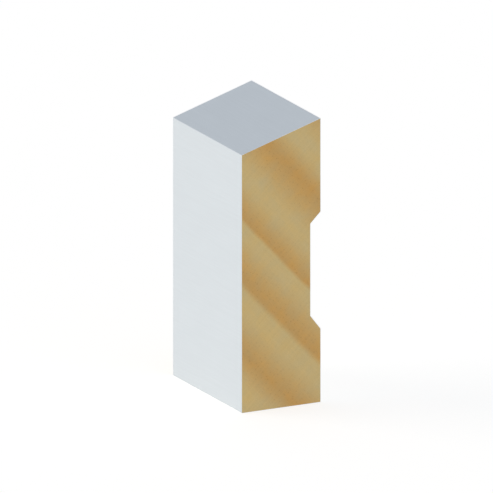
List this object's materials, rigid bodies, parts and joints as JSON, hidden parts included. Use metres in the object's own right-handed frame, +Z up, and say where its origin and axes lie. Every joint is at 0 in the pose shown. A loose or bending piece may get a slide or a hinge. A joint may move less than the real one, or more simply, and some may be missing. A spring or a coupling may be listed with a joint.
{
  "type": "bevel edge pine moulding",
  "caption": "Short length of white-primed pine moulding with a flat face, a bevelled top edge, a square foot, a relieved back and bare sawn ends; trims walls, doors and windows.",
  "frame": {"origin": "middle of the square edge that the moulding stands on", "axes": "+X along the grain, sawn end to sawn end; +Y through the thickness, from the front face to the back; +Z up, from the square edge to the bevelled edge"},
  "size_m": [0.0324, 0.019, 0.0635],
  "materials": {
    "primed_pine": "matt white primer on the long faces, bare sawn pine on the two ends"
  },
  "bodies": {
    "root": {"moulding": "primed_pine"}
  },
  "joints": []
}
